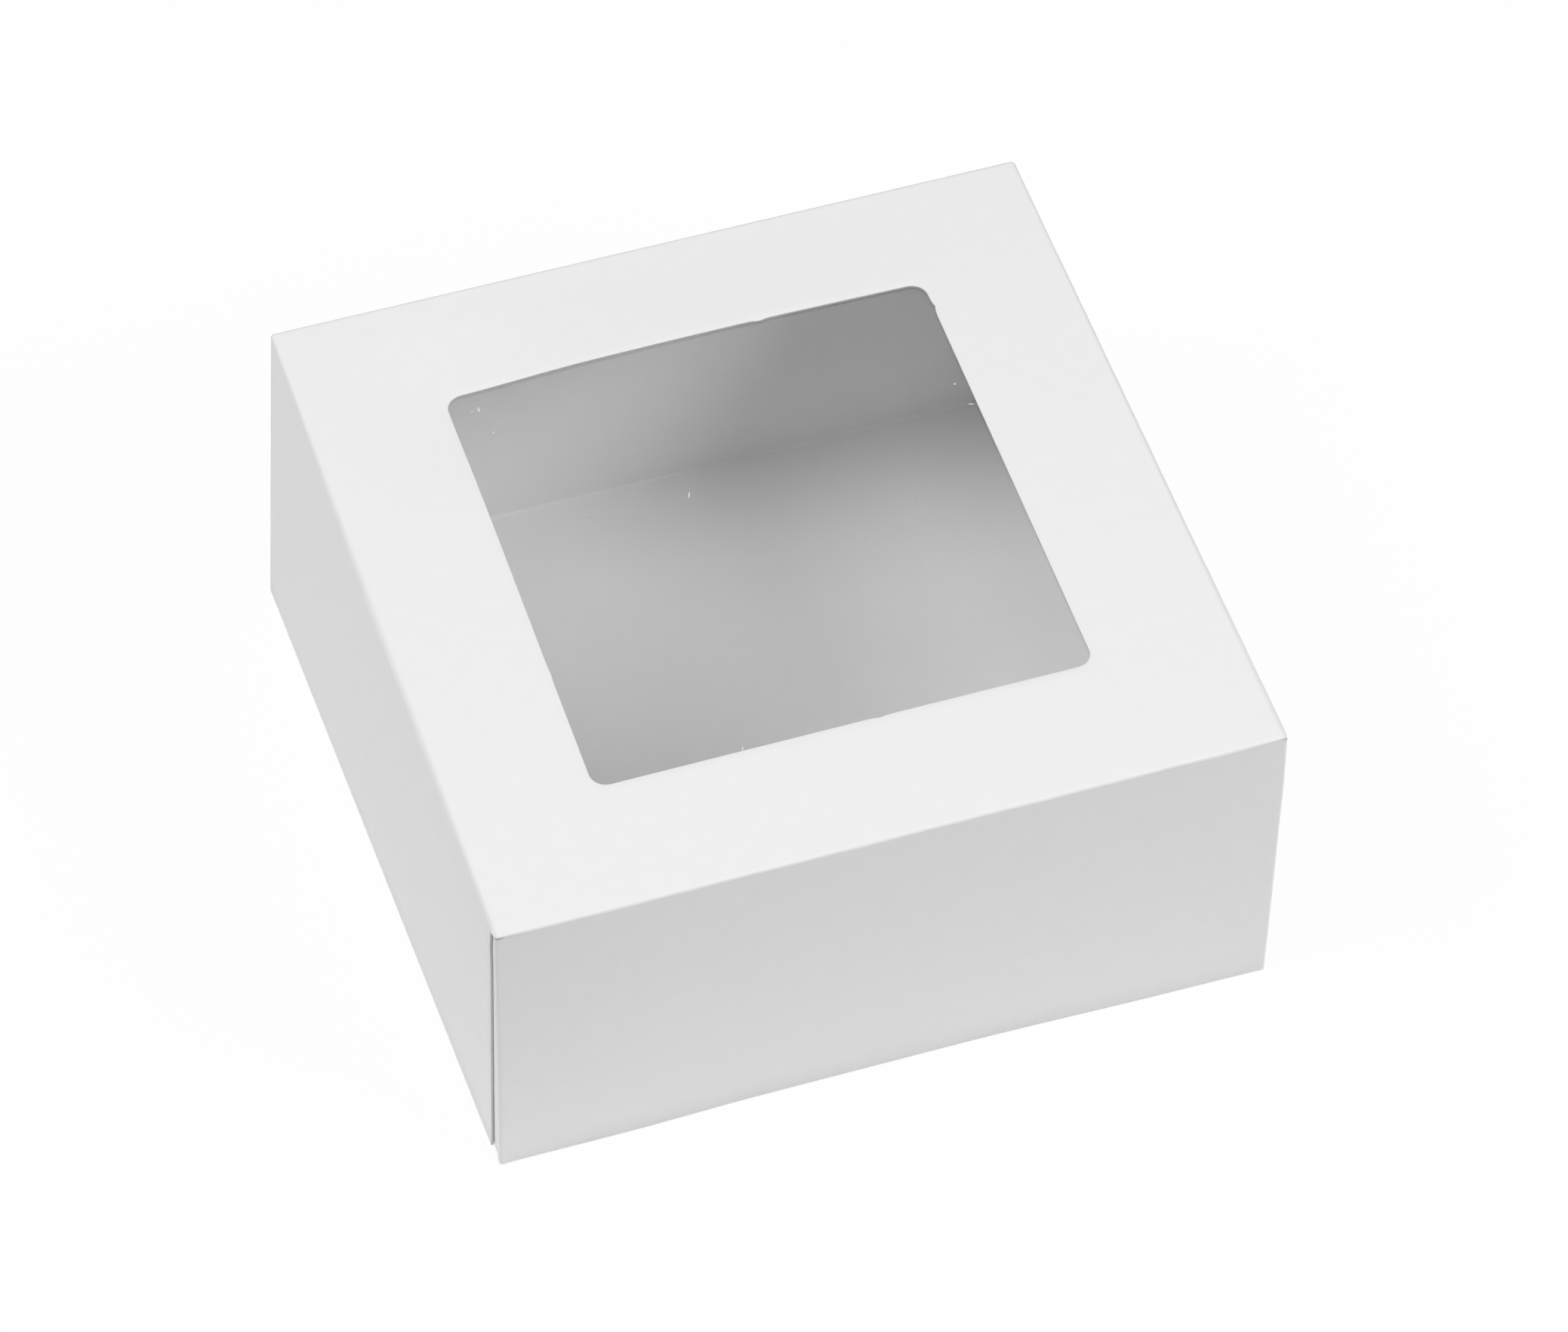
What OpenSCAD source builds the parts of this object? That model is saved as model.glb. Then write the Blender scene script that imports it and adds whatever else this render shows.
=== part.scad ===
// A folded paperboard cake box: a tray with glued corners and a lid that hinges on the tray's rear wall.
// The lid is glazed with clear film. A front flap and two side flaps hang from it outside the tray.
// The front flap has two ears, which tuck between the side flaps and the tray.
// Millimetres. The origin is under the middle of the box, on the table. +Z is up and -Y is the front.

/* [Box] */
// Outside width, across the lid's side flaps
box_w = 160; // [140:1:240]
// Outside depth, from the front flap to the rear wall
box_d = 159.4; // [140:0.2:240]
// Outside height, from the table to the lid
box_h = 75; // [60:1:150]
// Thickness of the paperboard
board_t = 0.5; // [0.3:0.05:0.8]

/* [Window] */
// Width of the window
window_w = 102; // [40:1:116]
// Depth of the window
window_d = 103.8; // [40:0.2:112]
// Board left between the front face and the window
window_front = 28.8; // [20:0.2:32]
// Radius of the window's corners
window_r = 3.4; // [1:0.2:10]
// Thickness of the clear film
film_t = 0.1; // [0.05:0.01:0.3]
// How far the film laps under the lid, all round the window
film_lap = 8; // [6:0.5:10]
// Bare lap between the window and the line of glue
film_glue_inset = 1.5; // [0.5:0.1:2]
// Width of the line of glue that holds the film
film_glue_w = 4; // [2:0.5:4]

/* [Lid flaps] */
// Height of the flaps' lower edges above the table
flap_lift = 0.6; // [0.3:0.1:3]
// How far a side flap stops short of the box's corners at its crease
flap_inset = 1; // [0.6:0.1:4]
// How much further each end of a side flap draws in towards its foot
flap_taper = 4.2; // [0:0.2:10]
// Length of the ears, from their crease
ear_len = 30; // [15:1:45]
// How far the ears start below the lid
ear_drop = 1; // [0.6:0.1:3]
// How far an ear's lower edge rises towards its free end
ear_rise = 5; // [0:0.5:10]

/* [Tray] */
// Length of the corner tabs, from the walls that they fold from
tab_len = 20; // [12:1:40]
// How far a tab's top and bottom edges stand clear of the walls' edges
tab_inset = 1.5; // [0.5:0.5:6]
// How much further they draw in towards the tab's free end
tab_taper = 3; // [0:0.5:8]
// How far the side walls stop short of the tray's corners
wall_inset = 0.4; // [0.2:0.1:2]
// Bare border round each corner's patch of glue
glue_border = 4; // [2:0.5:5]
// Thickness of the glue
glue_t = 0.1; // [0.05:0.05:0.2]

/* [Clearances] */
// Gap between layers of board that slide on each other
slip = 0.3; // [0.2:0.05:0.6]
// Gap between the film and the tops of the tray's walls
wall_drop = 0.3; // [0.2:0.05:1]
// Relief between a crease's round edge and the panel that turns about it
crease_gap = 0.2; // [0.15:0.05:0.4]

/* [Hidden] */
$fn = 48;

board_color = [0.94, 0.94, 0.94];
film_color = [0.85, 0.9, 0.94, 0.3];
glue_color = [0.9, 0.88, 0.78];

// Creases of the lid: every axis runs in the middle of the board
axis_x = box_w / 2 - board_t / 2;
axis_y = box_d / 2 - board_t / 2;
axis_z = box_h - board_t / 2;
panel_start = board_t / 2 + crease_gap;
flap_top = axis_z - panel_start;

// Layers of the side, from the outside in: flap, ear, wall, glue and tab
flap_inner_x = box_w / 2 - board_t;
ear_outer_x = flap_inner_x - slip;
ear_axis_x = ear_outer_x - board_t / 2;
wall_outer_x = ear_outer_x - board_t - slip;
wall_inner_x = wall_outer_x - board_t;
tab_outer_x = wall_inner_x - glue_t;

// Layers of the front, from the outside in: flap and wall
tray_front_y = -box_d / 2 + board_t + slip;
tray_rear_y = box_d / 2;
tray_d = tray_rear_y - tray_front_y;
tray_mid_y = (tray_rear_y + tray_front_y) / 2;

// Layers of the lid, from the top down: board, glue and film
lid_under_z = box_h - board_t;
film_top_z = lid_under_z - glue_t;
film_under_z = film_top_z - film_t;
wall_top_z = film_under_z - wall_drop;

window_mid_y = -box_d / 2 + window_front + window_d / 2;

// Tabs start at the inner faces of the front and rear walls, and stand between these heights there
front_tab_y = tray_front_y + board_t;
rear_tab_y = tray_rear_y - board_t;
tab_low_z = board_t + tab_inset;
tab_high_z = wall_top_z - tab_inset;

// A board strip lying on the X axis, with its two ends turned up through a quarter round
module bent_strip(width) {
    translate([-width / 2 + board_t, 0]) square([width - 2 * board_t, board_t]);
    for (side = [0, 1])
        mirror([side, 0]) translate([width / 2 - board_t, board_t]) intersection() {
            circle(r = board_t);
            translate([0, -board_t]) square(board_t);
        }
}

// A flat panel about the origin whose two edges along Y are creases, rounded about the middle of the board
module creased_panel(width, depth) {
    translate([-(width - board_t) / 2, -depth / 2, -board_t / 2]) cube([width - board_t, depth, board_t]);
    for (side = [-1, 1])
        translate([side * (width - board_t) / 2, depth / 2, 0])
            rotate([90, 0, 0]) cylinder(r = board_t / 2, h = depth);
}

module rounded_rectangle(width, depth, radius) {
    square([width - 2 * radius, depth], center = true);
    square([width, depth - 2 * radius], center = true);
    for (x = [-1, 1], y = [-1, 1])
        translate([x * (width / 2 - radius), y * (depth / 2 - radius)]) circle(r = radius);
}

// An upright sheet square to X, drawn as points of [y, z], from its inner face outwards
module upright(points, inner_x, thickness) {
    translate([inner_x, 0, 0]) rotate([90, 0, 90]) linear_extrude(thickness) polygon(points);
}

// Tray

module floor_panel() {
    color(board_color) intersection() {
        translate([0, tray_rear_y, 0]) rotate([90, 0, 0])
            linear_extrude(tray_d) bent_strip(2 * wall_outer_x);
        translate([-wall_outer_x, tray_mid_y, 0]) rotate([90, 0, 90])
            linear_extrude(2 * wall_outer_x) bent_strip(tray_d);
    }
}

// A wall that folds into tabs at both ends, with its outer face on the X axis and its inside towards +Y
module tabbed_wall(top_z) {
    translate([0, 0, board_t]) linear_extrude(top_z - board_t) bent_strip(2 * tab_outer_x);
}

module front_wall() {
    color(board_color) translate([0, tray_front_y, 0]) tabbed_wall(wall_top_z);
}

module rear_wall() {
    color(board_color) translate([0, tray_rear_y, 0]) mirror([0, 1, 0]) tabbed_wall(flap_top);
}

module right_wall() {
    low_y = tray_front_y + wall_inset;
    high_y = tray_rear_y - wall_inset;
    color(board_color)
        upright([[low_y, board_t], [high_y, board_t], [high_y, wall_top_z], [low_y, wall_top_z]],
                wall_inner_x, board_t);
}

module left_wall() {
    mirror([1, 0, 0]) right_wall();
}

// A right-hand tab from the inner face of a wall, where inward is the way that it runs along Y
module tab(root_y, inward) {
    end_y = root_y + inward * tab_len;
    upright([[root_y, tab_low_z], [end_y, tab_low_z + tab_taper],
             [end_y, tab_high_z - tab_taper], [root_y, tab_high_z]],
            tab_outer_x - board_t, board_t);
}

// The patch of glue between that tab and the side wall
module tab_glue(root_y, inward) {
    near_y = root_y + inward * glue_border;
    far_y = root_y + inward * (tab_len - glue_border);
    low_z = tab_low_z + tab_taper + glue_border;
    high_z = tab_high_z - tab_taper - glue_border;
    upright([[near_y, low_z], [far_y, low_z], [far_y, high_z], [near_y, high_z]], tab_outer_x, glue_t);
}

module front_right_tab() {
    color(board_color) tab(front_tab_y, 1);
}

module front_left_tab() {
    mirror([1, 0, 0]) front_right_tab();
}

module rear_right_tab() {
    color(board_color) tab(rear_tab_y, -1);
}

module rear_left_tab() {
    mirror([1, 0, 0]) rear_right_tab();
}

module corner_glue() {
    color(glue_color) for (side = [0, 1]) mirror([side, 0, 0]) {
        tab_glue(front_tab_y, 1);
        tab_glue(rear_tab_y, -1);
    }
}

// Lid

module lid_panel() {
    color(board_color) difference() {
        translate([0, 0, axis_z]) intersection() {
            creased_panel(box_w, box_d);
            rotate([0, 0, 90]) creased_panel(box_d, box_w);
        }
        translate([0, window_mid_y, lid_under_z - board_t])
            linear_extrude(3 * board_t) rounded_rectangle(window_w, window_d, window_r);
    }
}

module film_glue() {
    inner = 2 * film_glue_inset;
    outer = inner + 2 * film_glue_w;
    color(glue_color) translate([0, window_mid_y, film_top_z]) linear_extrude(glue_t) difference() {
        square([window_w + outer, window_d + outer], center = true);
        square([window_w + inner, window_d + inner], center = true);
    }
}

module window_film() {
    color(film_color) translate([0, window_mid_y, film_under_z]) linear_extrude(film_t)
        square([window_w + 2 * film_lap, window_d + 2 * film_lap], center = true);
}

module front_flap() {
    color(board_color) translate([0, -axis_y, (flap_top + flap_lift) / 2]) rotate([90, 0, 0])
        creased_panel(2 * ear_outer_x, flap_top - flap_lift);
}

// The ear's top edge falls at 45 degrees, so that ear and side flap open together without meeting
module right_ear() {
    root_y = -axis_y + panel_start;
    end_y = -axis_y + ear_len;
    top_z = lid_under_z - ear_drop;
    color(board_color)
        upright([[root_y, flap_lift], [end_y, flap_lift + ear_rise],
                 [end_y, top_z - (end_y - root_y)], [root_y, top_z]],
                ear_outer_x - board_t, board_t);
}

module left_ear() {
    mirror([1, 0, 0]) right_ear();
}

module right_flap() {
    top_y = box_d / 2 - flap_inset;
    foot_y = top_y - flap_taper;
    color(board_color)
        upright([[-foot_y, flap_lift], [foot_y, flap_lift], [top_y, flap_top], [-top_y, flap_top]],
                flap_inner_x, board_t);
}

module left_flap() {
    mirror([1, 0, 0]) right_flap();
}

floor_panel();
front_wall();
rear_wall();
left_wall();
right_wall();
front_left_tab();
front_right_tab();
rear_left_tab();
rear_right_tab();
corner_glue();
lid_panel();
film_glue();
window_film();
front_flap();
left_ear();
right_ear();
left_flap();
right_flap();
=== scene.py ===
# %% [markdown]
# # A paperboard cake box
#
# This lesson dresses a small white cake box: a glued tray, a lid with a clear window, and the flaps that
# hang from the lid. The real box is one die-cut sheet of thin coated board. Nearly all that the eye reads
# as board is therefore a bend, a cut edge or a slight warp, so the lesson spends its time on those three.

import math

import bmesh
import bpy
from mathutils import Euler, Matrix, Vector


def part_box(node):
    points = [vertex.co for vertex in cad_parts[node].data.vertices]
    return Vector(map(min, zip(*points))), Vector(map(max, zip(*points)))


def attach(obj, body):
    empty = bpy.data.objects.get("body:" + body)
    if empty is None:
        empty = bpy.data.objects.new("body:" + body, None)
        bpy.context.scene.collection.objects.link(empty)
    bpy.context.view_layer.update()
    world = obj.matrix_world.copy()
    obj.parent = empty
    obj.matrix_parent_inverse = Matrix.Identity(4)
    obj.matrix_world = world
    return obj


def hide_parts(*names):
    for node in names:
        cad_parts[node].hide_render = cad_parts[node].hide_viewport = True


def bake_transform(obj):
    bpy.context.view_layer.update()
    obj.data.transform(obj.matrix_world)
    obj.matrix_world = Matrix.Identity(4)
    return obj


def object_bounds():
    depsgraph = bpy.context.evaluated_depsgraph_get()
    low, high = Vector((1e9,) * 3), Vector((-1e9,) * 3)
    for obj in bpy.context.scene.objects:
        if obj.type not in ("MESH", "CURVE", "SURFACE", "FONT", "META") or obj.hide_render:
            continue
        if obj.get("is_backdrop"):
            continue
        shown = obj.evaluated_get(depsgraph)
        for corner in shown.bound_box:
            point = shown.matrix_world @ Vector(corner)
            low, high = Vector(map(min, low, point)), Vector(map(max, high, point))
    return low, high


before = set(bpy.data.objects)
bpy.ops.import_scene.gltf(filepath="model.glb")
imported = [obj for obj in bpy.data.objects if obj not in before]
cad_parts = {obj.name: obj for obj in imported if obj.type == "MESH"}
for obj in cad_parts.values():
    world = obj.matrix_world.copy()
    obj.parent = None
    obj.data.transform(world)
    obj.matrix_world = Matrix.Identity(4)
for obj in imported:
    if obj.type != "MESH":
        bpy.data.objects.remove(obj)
cad_box = [list(corner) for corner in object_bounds()]
print("Nodes in the frame:", len(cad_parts))

# %% [markdown]
# ## Sizes
#
# The solids in the frame have the box's true size, so places and sizes are read from them. Only what they
# leave out is stated here: how wide a fold turns, and how much flat board goes with it. A crease in board
# this thin turns through about twice the board's thickness.

# %% Read the sizes
MM = 0.001
TINY = 0.005 * MM
X, Y, Z = 0, 1, 2
SIDES = (("left", -1), ("right", 1))
WELL_INSIDE = 0.9


def node_points(node):
    """The corners of a node's solid."""
    return [vertex.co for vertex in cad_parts[node].data.vertices]


lid_low, lid_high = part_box("lid_panel")
board = lid_high.z - lid_low.z
lid_z = lid_high.z
window_points = [
    p for p in node_points("lid_panel")
    if abs(p.x) < WELL_INSIDE * lid_high.x and abs(p.y) < WELL_INSIDE * lid_high.y
]
window_low = Vector([min(p[axis] for p in window_points) for axis in (X, Y)])
window_high = Vector([max(p[axis] for p in window_points) for axis in (X, Y)])
window_size = window_high - window_low
window_mid = (window_high + window_low) / 2
window_r = window_high.y - max(p.y for p in window_points if p.x > window_high.x - TINY)

fold_r = 2 * board
corner_r = 1.5 * board
margin = 1.2 * board
fold_z = lid_z - fold_r
FOLD_STEPS = 8

print(f"Board {board / MM:.2f} mm, window {window_size.x / MM:.1f} x {window_size.y / MM:.1f} mm")

# %% [markdown]
# ## Camera
#
# The photograph was taken from a step away with a long lens, a little to the left of the box's front and
# well above it. A long lens keeps the box's edges almost parallel. The camera circles an aim point near
# the box's middle, which is easier to adjust by hand than three coordinates.

# %% Set the camera
AIM = Vector((2.5, -5.2, 37.5)) * MM
DISTANCE = 1.3987
AZIMUTH = math.radians(-19.355)
ELEVATION = math.radians(51.471)
ROLL = math.radians(1.446)
LENS_MM = 159.156


def from_above(azimuth, elevation):
    """The way from the box to something above it, turned from the front towards the right."""
    level = math.cos(elevation)
    return Vector((math.sin(azimuth) * level, -math.cos(azimuth) * level, math.sin(elevation)))


camera = bpy.data.objects.new("camera", bpy.data.cameras.new("camera"))
bpy.context.scene.collection.objects.link(camera)
camera.data.lens = LENS_MM
camera.data.clip_start = 0.01
camera.location = AIM + DISTANCE * from_above(AZIMUTH, ELEVATION)
upright = Euler((math.pi / 2 - ELEVATION, 0, AZIMUTH)).to_quaternion()
camera.rotation_euler = (upright @ Euler((0, 0, ROLL)).to_quaternion()).to_euler()
bpy.context.scene.camera = camera
print(f"Camera {DISTANCE:.2f} m from its aim")

# %% [markdown]
# ## Shader sums
#
# A finish is a sum of noises and masks. As a net of Math nodes it is hard to read, so a small class wraps
# a node's output and lets it be added and multiplied like a number. Every operator adds one Math node.
# Any other node comes from the method `node`, which sets the node up and then fills its sockets.


# %% Wrap a socket
def sum_of(operation, swapped=False):
    """A method for one operator, which adds a Math node."""
    def method(self, other):
        first, second = (other, self) if swapped else (self, other)
        return self.node("Math", {0: first, 1: second}, operation=operation)
    return method


class Wire:
    """A node's output that goes into a sum as a number does."""

    def __init__(self, socket):
        self.socket = socket

    def node(self, kind, inputs=(), out=0, **settings):
        """Adds a node to the same material: its settings first, then the values or wires of its sockets."""
        made = self.socket.id_data.nodes.new("ShaderNode" + kind)
        for name, value in settings.items():
            setattr(made, name, value)
        for name in inputs:
            feed(made.inputs[name], inputs[name])
        return Wire(made.outputs[out])

    def other(self, out):
        """Another output of the same node."""
        return Wire(self.socket.node.outputs[out])

    __add__ = __radd__ = sum_of("ADD")
    __mul__ = __rmul__ = sum_of("MULTIPLY")
    __sub__, __rsub__ = sum_of("SUBTRACT"), sum_of("SUBTRACT", swapped=True)
    __truediv__ = sum_of("DIVIDE")
    __pow__ = sum_of("POWER")

    def bounded(self):
        """The same value, held between 0 and 1."""
        return self.node("Clamp", {"Value": self})

    def noise(self, scale, detail, stretch=(1, 1, 1)):
        """A cloudy value from 0 to 1, with so many clouds to the metre."""
        spread = self.node("Mapping", {"Vector": self, "Scale": stretch})
        return self.node("TexNoise", {"Vector": spread, "Scale": scale, "Detail": detail})

    def specks(self, scale, size):
        """A mask of small round dots, about so many to the metre each way."""
        gap = self.node("TexVoronoi", {"Vector": self, "Scale": scale, "Randomness": 1}, feature="F1")
        return (1 - gap / size).bounded()

    def between(self, low, high):
        """A colour from low to high, as this value goes from 0 to 1."""
        ends = {6: (*low, 1), 7: (*high, 1)}
        return self.node("Mix", {"Factor": self, **ends}, out=2, data_type="RGBA")

    def bump(self, strength, depth):
        """A surface that stands up where this value is high, by so much at most."""
        return self.node("Bump", {"Strength": strength, "Distance": depth, "Height": self})


print("Outputs are summed as a", Wire.__name__)


# %% Start a finish
def feed(socket, value):
    """Links a wire to a socket, or sets the socket's own value."""
    if isinstance(value, Wire):
        socket.id_data.links.new(value.socket, socket)
    else:
        socket.default_value = value


def new_finish(name):
    """A new material, its Principled sockets, and the place on the piece that its pattern reads."""
    finish = bpy.data.materials.new(name)
    finish.use_nodes = True
    shader = finish.node_tree.nodes["Principled BSDF"]
    place = Wire(shader.outputs[0]).node("TexCoord", out="Object")
    return finish, shader.inputs, place


def mix_shaders(finish, share, first, second):
    """Shows the second shader by a share, and the first by the rest."""
    mixed = share.node("MixShader", {"Fac": share, 1: first, 2: second})
    feed(finish.node_tree.nodes["Material Output"].inputs["Surface"], mixed)


print("A finish starts with", new_finish.__name__)

# %% [markdown]
# ## The board's three faces
#
# A folding carton shows three surfaces of the same sheet. The outside has a smooth white clay coat with a
# low satin sheen, slightly cloudy because the fibres under it aren't even. The inside is bare pulp:
# greyer, matte, with short fibres. A cut edge shows the layers in section, and its torn fibres make it
# rough and darker. A piece of board carries all three, handed out by the tool that thickens it.

# %% Coated outside and bare inside
BOARD_SPECULAR = 0.12


def coated_board():
    finish, surface, place = new_finish("coated_board")
    clouds = place.noise(scale=240, detail=3)
    grain = place.noise(scale=2200, detail=2)
    rub = place.noise(scale=70, detail=4, stretch=(1, 3, 2))
    tone = (0.55 * clouds + 0.45 * grain).bounded()
    feed(surface["Base Color"], tone.between((0.835, 0.835, 0.835), (0.885, 0.885, 0.885)))
    feed(surface["Roughness"], 0.50 + 0.12 * clouds + 0.12 * rub)
    skin = 0.7 * place.noise(scale=1100, detail=2) + 0.3 * grain
    feed(surface["Normal"], skin.bump(strength=0.10, depth=0.03 * MM))
    feed(surface["Specular IOR Level"], BOARD_SPECULAR)
    return finish


def bare_board():
    finish, surface, place = new_finish("bare_board")
    pulp = place.noise(scale=420, detail=4)
    fibres = place.noise(scale=900, detail=3, stretch=(1, 6, 6))
    flecks = place.specks(scale=190, size=0.10)
    tone = (0.6 * pulp + 0.5 * fibres - 0.35 * flecks).bounded()
    feed(surface["Base Color"], tone.between((0.83, 0.83, 0.83), (0.89, 0.89, 0.89)))
    feed(surface["Roughness"], 0.70 + 0.2 * fibres)
    skin = 0.5 * pulp + 0.5 * fibres
    feed(surface["Normal"], skin.bump(strength=0.25, depth=0.05 * MM))
    feed(surface["Specular IOR Level"], BOARD_SPECULAR)
    return finish


BOARD_FACES = [coated_board(), bare_board()]
print("Board faces:", len(BOARD_FACES))


# %% Cut edges
def cut_board():
    finish, surface, place = new_finish("cut_board")
    layers = place.noise(scale=5200, detail=2)
    torn_fibres = place.noise(scale=1500, detail=4)
    tone = (0.5 * layers + 0.6 * torn_fibres - 0.05).bounded()
    feed(surface["Base Color"], tone.between((0.52, 0.52, 0.515), (0.74, 0.74, 0.735)))
    feed(surface["Roughness"], 0.8 + 0.15 * torn_fibres)
    feed(surface["Normal"], torn_fibres.bump(strength=0.5, depth=0.06 * MM))
    return finish


BOARD_FINISHES = BOARD_FACES + [cut_board()]
print("Board finishes:", [finish.name for finish in BOARD_FINISHES])

# %% [markdown]
# ## Working the sheet by hand
#
# All the board pieces start as a flat rectangle and are shaped in edit mode, as on a bench: cut across,
# fold an edge round, run the board straight on. Selecting is the part that a mouse usually does. Here an
# edge is picked by a question about its two ends, such as "do both lie on this line?".


# %% Start a sheet and pick its edges
def add_sheet(name, width, depth, middle, turn=(0, 0, 0)):
    """A flat rectangle at its true size and place, left in edit mode."""
    bpy.ops.object.select_all(action="DESELECT")
    bpy.ops.mesh.primitive_plane_add(size=1, location=middle, rotation=turn)
    sheet = bpy.context.object
    sheet.name = sheet.data.name = name
    sheet.scale = (width, depth, 1)
    bpy.ops.object.transform_apply(location=True, rotation=True, scale=True)
    bpy.ops.object.mode_set(mode="EDIT")
    return sheet


def select_edges(test):
    """Selects the edges that pass a test."""
    bpy.ops.mesh.select_mode(type="EDGE")
    bpy.ops.mesh.select_all(action="DESELECT")
    mesh = bmesh.from_edit_mesh(bpy.context.object.data)
    for edge in mesh.edges:
        if test(edge):
            edge.select_set(True)
    bmesh.update_edit_mesh(bpy.context.object.data)


def pick_edges(test):
    """Selects the edges whose two ends pass a test."""
    select_edges(lambda edge: test(edge.verts[0].co, edge.verts[1].co))


def lying_on(axis, value, half_x=math.inf):
    """A test: the edge lies on a plane square to an axis, within half_x of the middle."""
    return lambda a, b: all(abs(p[axis] - value) < TINY and abs(p.x) < half_x + TINY for p in (a, b))


print(f"Edges are picked to within {TINY / MM:.3f} mm")

# %% Cut the sheet and run it on
NEARLY_ALL = 0.9


def running_along(axis, at_least):
    """A test: the edge runs along an axis for at least this length."""
    return lambda a, b: abs(a[axis] - b[axis]) > max(at_least, NEARLY_ALL * (a - b).length)


def cut_across(axis, values):
    """Cuts the whole sheet along planes square to an axis."""
    square = [1.0 if k == axis else 0.0 for k in (X, Y, Z)]
    for value in values:
        bpy.ops.mesh.select_all(action="SELECT")
        bpy.ops.mesh.bisect(plane_co=[value * k for k in square], plane_no=square, threshold=TINY / 5)


def run_on(move):
    """Runs the board straight on from the edge that is selected."""
    bpy.ops.mesh.extrude_edges_move(TRANSFORM_OT_translate={"value": move})


print("Hand tools:", cut_across.__name__, "and", run_on.__name__)

# %% [markdown]
# ## From sheet to board
#
# The sheet so far is only the board's outer face. Its normals are set to look outwards first, because the
# thickness grows the other way. Solidify then gives the inner face and the cut edges, each with its own
# finish. Last, the cut edges that stay free lose their razor sharpness to a tiny bevel. Edges where one
# piece of board goes on into the next are left square, or a groove would show.

# %% Thicken a sheet and soften its edges
EDGE_SOFT = 0.06 * MM
SHARP_ANGLE, SMOOTH_ANGLE = math.radians(60), math.radians(35)


def thicken(sheet, outside, thickness=board, finishes=BOARD_FINISHES):
    """Gives a sheet its thickness, inwards from the face that looks outside."""
    bpy.ops.mesh.select_all(action="SELECT")
    bpy.ops.mesh.remove_doubles(threshold=TINY)
    bpy.ops.mesh.normals_make_consistent(inside=False)
    faces = bmesh.from_edit_mesh(sheet.data).faces
    if max(faces, key=lambda face: face.calc_area()).normal.dot(Vector(outside)) < 0:
        bpy.ops.mesh.flip_normals()
    bpy.ops.object.mode_set(mode="OBJECT")
    for finish in finishes:
        sheet.data.materials.append(finish)
    solid = sheet.modifiers.new("thickness", "SOLIDIFY")
    solid.thickness = thickness
    solid.offset = -1
    solid.use_even_offset = True
    solid.material_offset = 1
    solid.material_offset_rim = 2
    bpy.ops.object.modifier_apply(modifier=solid.name)


def soften(free):
    """Bevels the active piece's sharp edges whose two ends pass a test, and shades it smooth."""
    def sharp_and_free(edge):
        sharp = len(edge.link_faces) == 2 and edge.calc_face_angle() > SHARP_ANGLE
        return sharp and all(free(vertex.co) for vertex in edge.verts)

    bpy.ops.object.mode_set(mode="EDIT")
    select_edges(sharp_and_free)
    bpy.ops.mesh.bevel(offset=EDGE_SOFT, segments=2, affect="EDGES")
    bpy.ops.object.mode_set(mode="OBJECT")
    bpy.ops.object.shade_smooth_by_angle(angle=SMOOTH_ANGLE)


print(f"Free edges are softened by {EDGE_SOFT / MM:.2f} mm")

# %% [markdown]
# Board never lies quite as it was drawn, so a finished piece is bent a last time by a formula that moves
# its points. Most of the formulas fade a shift in or out along the board, by one smooth step from 0 to 1
# that starts and ends without a kink.


# %% Bend and place a piece
def bounded(value, low=0.0):
    """The same value, held between low and 1."""
    return min(max(value, low), 1.0)


def smooth_step(value):
    """0 below 0, 1 above 1, and a smooth way up between."""
    value = bounded(value)
    return value * value * (3 - 2 * value)


def reshape(piece, formula):
    """Moves every point of a piece to where a formula puts it."""
    for vertex in piece.data.vertices:
        vertex.co = formula(vertex.co)
    piece.data.update()


def place_by(piece, turn=0.0, mirror=(1, 1, 1)):
    """Turns a piece about the box's upright middle line, or mirrors it."""
    piece.rotation_euler = (0, 0, turn)
    piece.scale = mirror
    bpy.ops.object.transform_apply(location=True, rotation=True, scale=True)
    bpy.ops.object.mode_set(mode="EDIT")
    bpy.ops.mesh.select_all(action="SELECT")
    bpy.ops.mesh.normals_make_consistent(inside=False)
    bpy.ops.object.mode_set(mode="OBJECT")


print("Smooth step at a quarter:", smooth_step(0.25))

# %% [markdown]
# ## The lid's panel
#
# The lid is a square frame round the window. It could be cut from a plane with a boolean, but that leaves
# long thin faces that can't warp. Instead the window's outline and the outer seam are drawn as two loops
# with the same number of points and bridged, so that the board between them is an even grid.
#
# Held only along its creases, thin board never stays flat: the back of this lid lifts a little in the
# middle and sinks beside the window's back left corner. The film under it follows, so the rise and the
# dip are one formula that both use. It fades to nothing at the creases, where the board is stiff.

# %% The lid's rise and dip
seam_x = lid_high.x - fold_r - margin
seam_y = lid_high.y - fold_r - margin
RISE, RISE_AT = 1.2 * MM, Vector((8, 45)) * MM
DIP, DIP_AT, DIP_REACH = 1.0 * MM, Vector((-50, 50)) * MM, 30 * MM
STIFF_EDGE = 12 * MM


def hump(value, peak, limit):
    """A round rise along one axis: 1 at the peak and 0 at plus and minus limit."""
    share = (value - peak) / ((limit if value > peak else -limit) - peak)
    return math.cos(math.pi / 2 * bounded(share)) ** 2


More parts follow.
